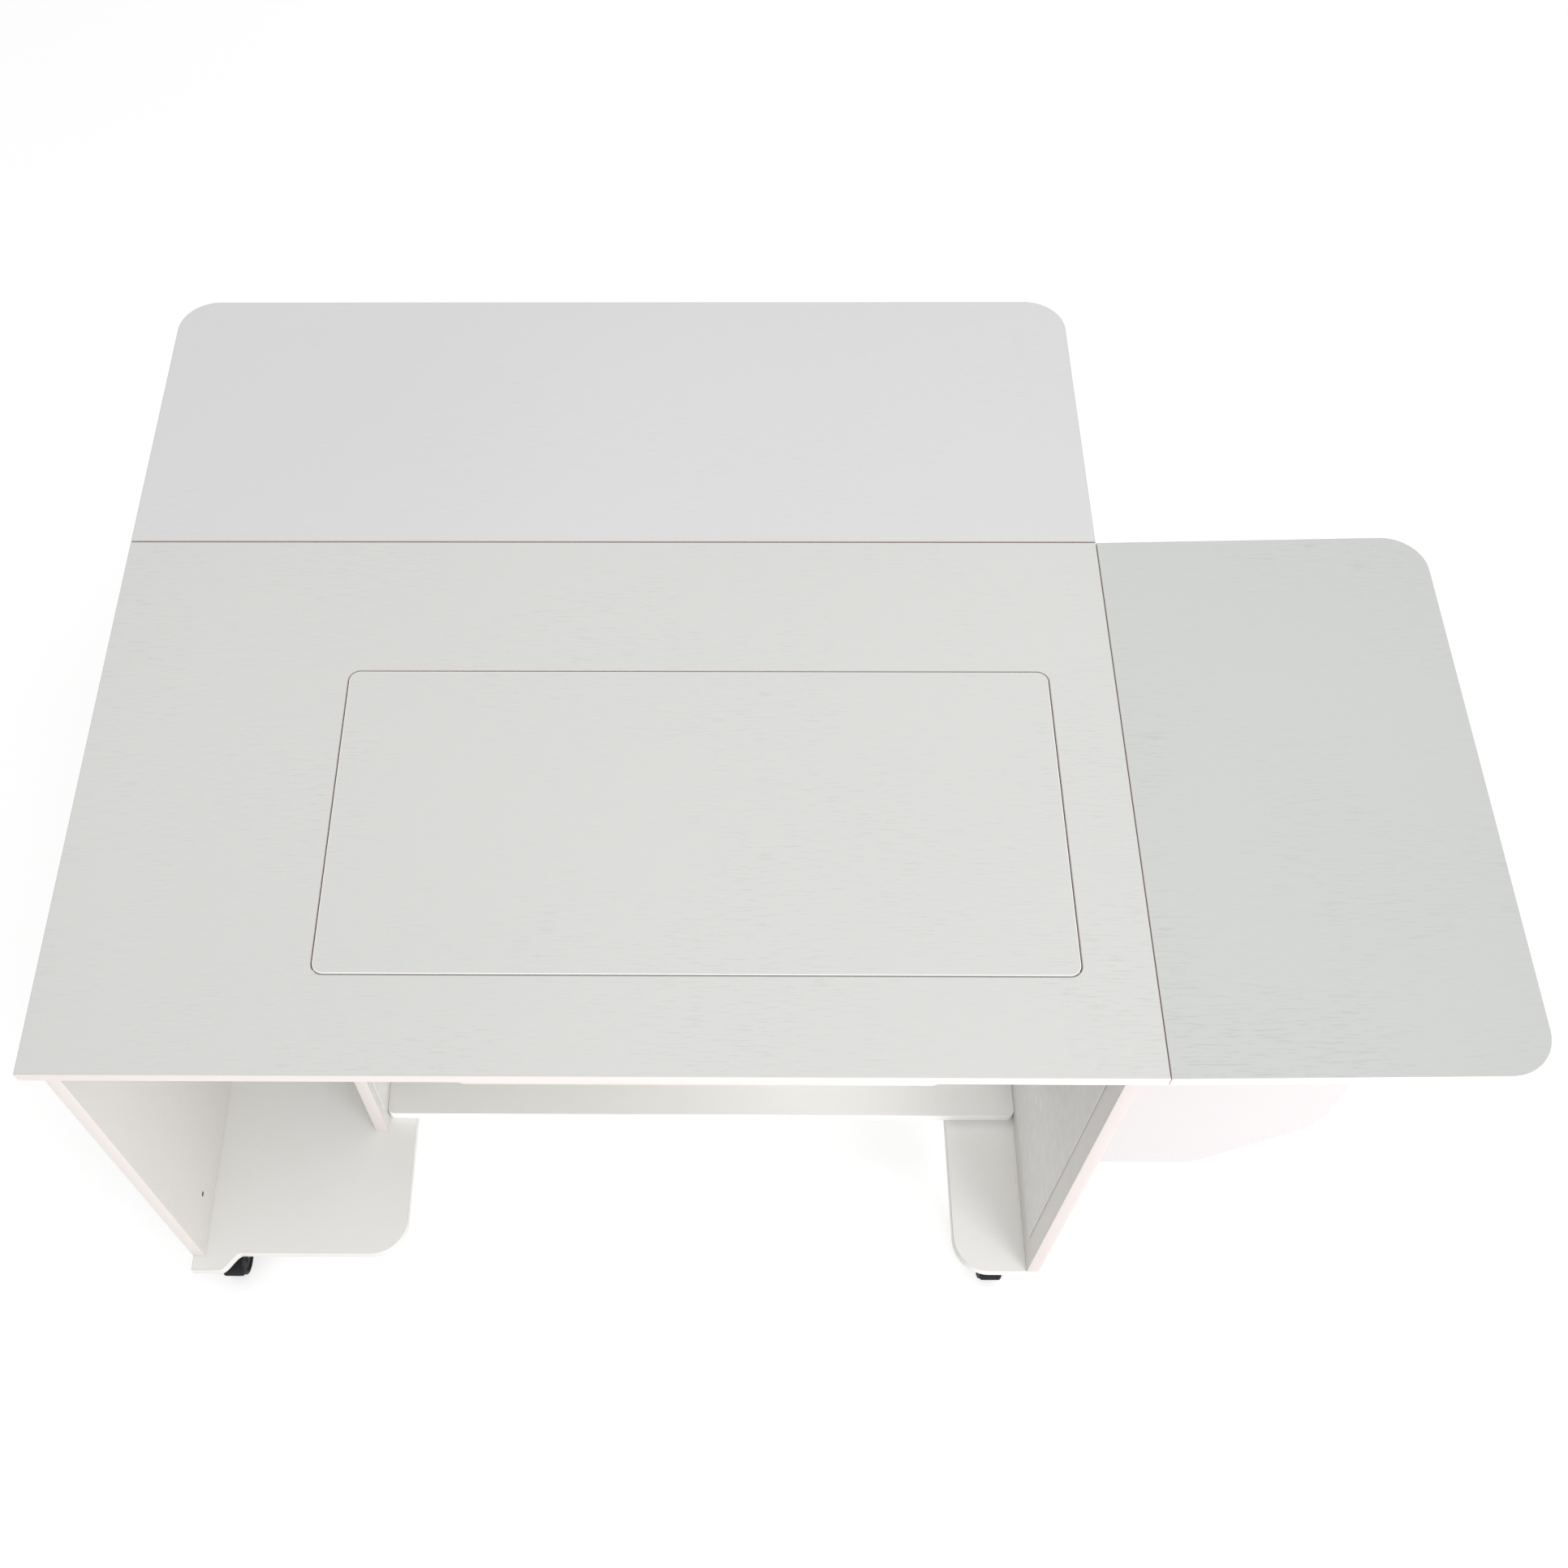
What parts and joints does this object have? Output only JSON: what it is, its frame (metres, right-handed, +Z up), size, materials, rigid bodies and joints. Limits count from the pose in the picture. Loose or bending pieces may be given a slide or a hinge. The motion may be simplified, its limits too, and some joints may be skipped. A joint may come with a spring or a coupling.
{
  "type": "sewing table",
  "caption": "White sewing table on casters with a lift-out insert over a lifting machine platform, a fold-down rear leaf and a right leaf held by a swing-out gate.",
  "frame": {"origin": "on the floor, under the middle of the table's outline with both leaves out", "axes": "+X to the user's right along the front edge, +Y to the back, +Z up"},
  "size_m": [1.4912, 1.0514, 0.761],
  "materials": {
    "white_laminate": "white melamine with a fine embossed grain, satin",
    "cabinet_laminate": "white melamine, satin",
    "white_steel": "white powder coat",
    "plated_steel": "zinc plated",
    "black_nylon": "moulded black nylon",
    "tread": "matt black tread"
  },
  "bodies": {
    "cabinet": {"main_top": "white_laminate", "insert_cleat_left": "cabinet_laminate", "insert_cleat_right": "cabinet_laminate", "left_side_panel": "cabinet_laminate", "right_side_panel": "cabinet_laminate", "divider": "cabinet_laminate", "back_panel": "cabinet_laminate", "bridge_board": "cabinet_laminate", "left_foot": "cabinet_laminate", "right_foot": "cabinet_laminate", "rear_hinge_1_fixed": "plated_steel", "rear_hinge_2_fixed": "plated_steel", "rear_hinge_3_fixed": "plated_steel", "right_hinge_1_fixed": "plated_steel", "right_hinge_2_fixed": "plated_steel", "strut_catch_left": "plated_steel", "strut_catch_right": "plated_steel", "gate_hinge_fixed": "plated_steel", "lift_rail_left": "white_steel", "lift_rail_right": "white_steel", "gas_tube_left": "black_nylon", "gas_tube_right": "black_nylon", "caster_front_left_mount": "black_nylon", "caster_front_right_mount": "black_nylon", "caster_rear_left_mount": "black_nylon", "caster_rear_right_mount": "black_nylon"},
    "insert": {"insert_panel": "white_laminate"},
    "rear_leaf": {"rear_leaf": "white_laminate", "rear_hinge_1_moving": "plated_steel", "rear_hinge_2_moving": "plated_steel", "rear_hinge_3_moving": "plated_steel", "strut_bracket_left": "plated_steel", "strut_bracket_right": "plated_steel"},
    "strut_left": {"rear_strut_left": "white_steel"},
    "strut_right": {"rear_strut_right": "white_steel"},
    "right_leaf": {"right_leaf": "white_laminate", "right_hinge_1_moving": "plated_steel", "right_hinge_2_moving": "plated_steel", "leaf_stop": "black_nylon"},
    "gate": {"leaf_gate": "cabinet_laminate", "gate_hinge_moving": "plated_steel"},
    "lift": {"lift_platform": "cabinet_laminate", "lift_crossbar": "white_steel", "gas_rod_left": "plated_steel", "gas_rod_right": "plated_steel"},
    "swivel_front_left": {"caster_front_left_hood": "black_nylon"},
    "wheel_front_left_a": {"caster_front_left_wheel_a": "tread"},
    "wheel_front_left_b": {"caster_front_left_wheel_b": "tread"},
    "swivel_front_right": {"caster_front_right_hood": "black_nylon"},
    "wheel_front_right_a": {"caster_front_right_wheel_a": "tread"},
    "wheel_front_right_b": {"caster_front_right_wheel_b": "tread"},
    "swivel_rear_left": {"caster_rear_left_hood": "black_nylon"},
    "wheel_rear_left_a": {"caster_rear_left_wheel_a": "tread"},
    "wheel_rear_left_b": {"caster_rear_left_wheel_b": "tread"},
    "swivel_rear_right": {"caster_rear_right_hood": "black_nylon"},
    "wheel_rear_right_a": {"caster_rear_right_wheel_a": "tread"},
    "wheel_rear_right_b": {"caster_rear_right_wheel_b": "tread"}
  },
  "joints": [
    {"name": "insert_lift_out", "type": "slide", "parent": "cabinet", "child": "insert", "axis": [0, 0, 1], "range_m": [0, 0.2]},
    {"name": "rear_leaf_fold", "type": "hinge", "parent": "cabinet", "child": "rear_leaf", "pos_m": [-0.18562, 0.135, 0.7307], "axis": [1, 0, 0], "range_deg": [-90, 0]},
    {"name": "right_leaf_tilt", "type": "hinge", "parent": "cabinet", "child": "right_leaf", "pos_m": [0.37513, -0.19575, 0.7307], "axis": [0, -1, 0], "range_deg": [0, 2]},
    {"name": "gate_swing", "type": "hinge", "parent": "cabinet", "child": "gate", "pos_m": [0.35618, -0.46295, 0.565], "axis": [0, 0, 1], "range_deg": [0, 90]},
    {"name": "platform_lift", "type": "slide", "parent": "cabinet", "child": "lift", "axis": [0, 0, 1], "range_m": [0, 0.27]},
    {"name": "strut_left_fold", "type": "hinge", "parent": "rear_leaf", "child": "strut_left", "pos_m": [-0.48362, 0.335, 0.7127], "axis": [1, 0, 0], "range_deg": [0, 137.06]},
    {"name": "strut_right_fold", "type": "hinge", "parent": "rear_leaf", "child": "strut_right", "pos_m": [0.11638, 0.335, 0.7127], "axis": [1, 0, 0], "range_deg": [0, 137.06]},
    {"name": "swivel_front_left", "type": "hinge", "parent": "cabinet", "child": "swivel_front_left", "pos_m": [-0.69762, -0.46875, 0.045], "axis": [0, 0, 1], "continuous": true},
    {"name": "wheel_front_left_a", "type": "hinge", "parent": "swivel_front_left", "child": "wheel_front_left_a", "pos_m": [-0.69762, -0.48675, 0.025], "axis": [1, 0, 0], "continuous": true},
    {"name": "wheel_front_left_b", "type": "hinge", "parent": "swivel_front_left", "child": "wheel_front_left_b", "pos_m": [-0.69762, -0.48675, 0.025], "axis": [1, 0, 0], "continuous": true},
    {"name": "swivel_front_right", "type": "hinge", "parent": "cabinet", "child": "swivel_front_right", "pos_m": [0.29738, -0.46875, 0.045], "axis": [0, 0, 1], "continuous": true},
    {"name": "wheel_front_right_a", "type": "hinge", "parent": "swivel_front_right", "child": "wheel_front_right_a", "pos_m": [0.29738, -0.48675, 0.025], "axis": [1, 0, 0], "continuous": true},
    {"name": "wheel_front_right_b", "type": "hinge", "parent": "swivel_front_right", "child": "wheel_front_right_b", "pos_m": [0.29738, -0.48675, 0.025], "axis": [1, 0, 0], "continuous": true},
    {"name": "swivel_rear_left", "type": "hinge", "parent": "cabinet", "child": "swivel_rear_left", "pos_m": [-0.69762, 0.04825, 0.045], "axis": [0, 0, 1], "continuous": true},
    {"name": "wheel_rear_left_a", "type": "hinge", "parent": "swivel_rear_left", "child": "wheel_rear_left_a", "pos_m": [-0.69762, 0.06625, 0.025], "axis": [1, 0, 0], "continuous": true},
    {"name": "wheel_rear_left_b", "type": "hinge", "parent": "swivel_rear_left", "child": "wheel_rear_left_b", "pos_m": [-0.69762, 0.06625, 0.025], "axis": [1, 0, 0], "continuous": true},
    {"name": "swivel_rear_right", "type": "hinge", "parent": "cabinet", "child": "swivel_rear_right", "pos_m": [0.29738, 0.04825, 0.045], "axis": [0, 0, 1], "continuous": true},
    {"name": "wheel_rear_right_a", "type": "hinge", "parent": "swivel_rear_right", "child": "wheel_rear_right_a", "pos_m": [0.29738, 0.06625, 0.025], "axis": [1, 0, 0], "continuous": true},
    {"name": "wheel_rear_right_b", "type": "hinge", "parent": "swivel_rear_right", "child": "wheel_rear_right_b", "pos_m": [0.29738, 0.06625, 0.025], "axis": [1, 0, 0], "continuous": true}
  ],
  "couplings": [
    {"joint": "strut_left_fold", "follows": "rear_leaf_fold", "ratio": -1.5229},
    {"joint": "strut_right_fold", "follows": "rear_leaf_fold", "ratio": -1.5229}
  ]
}
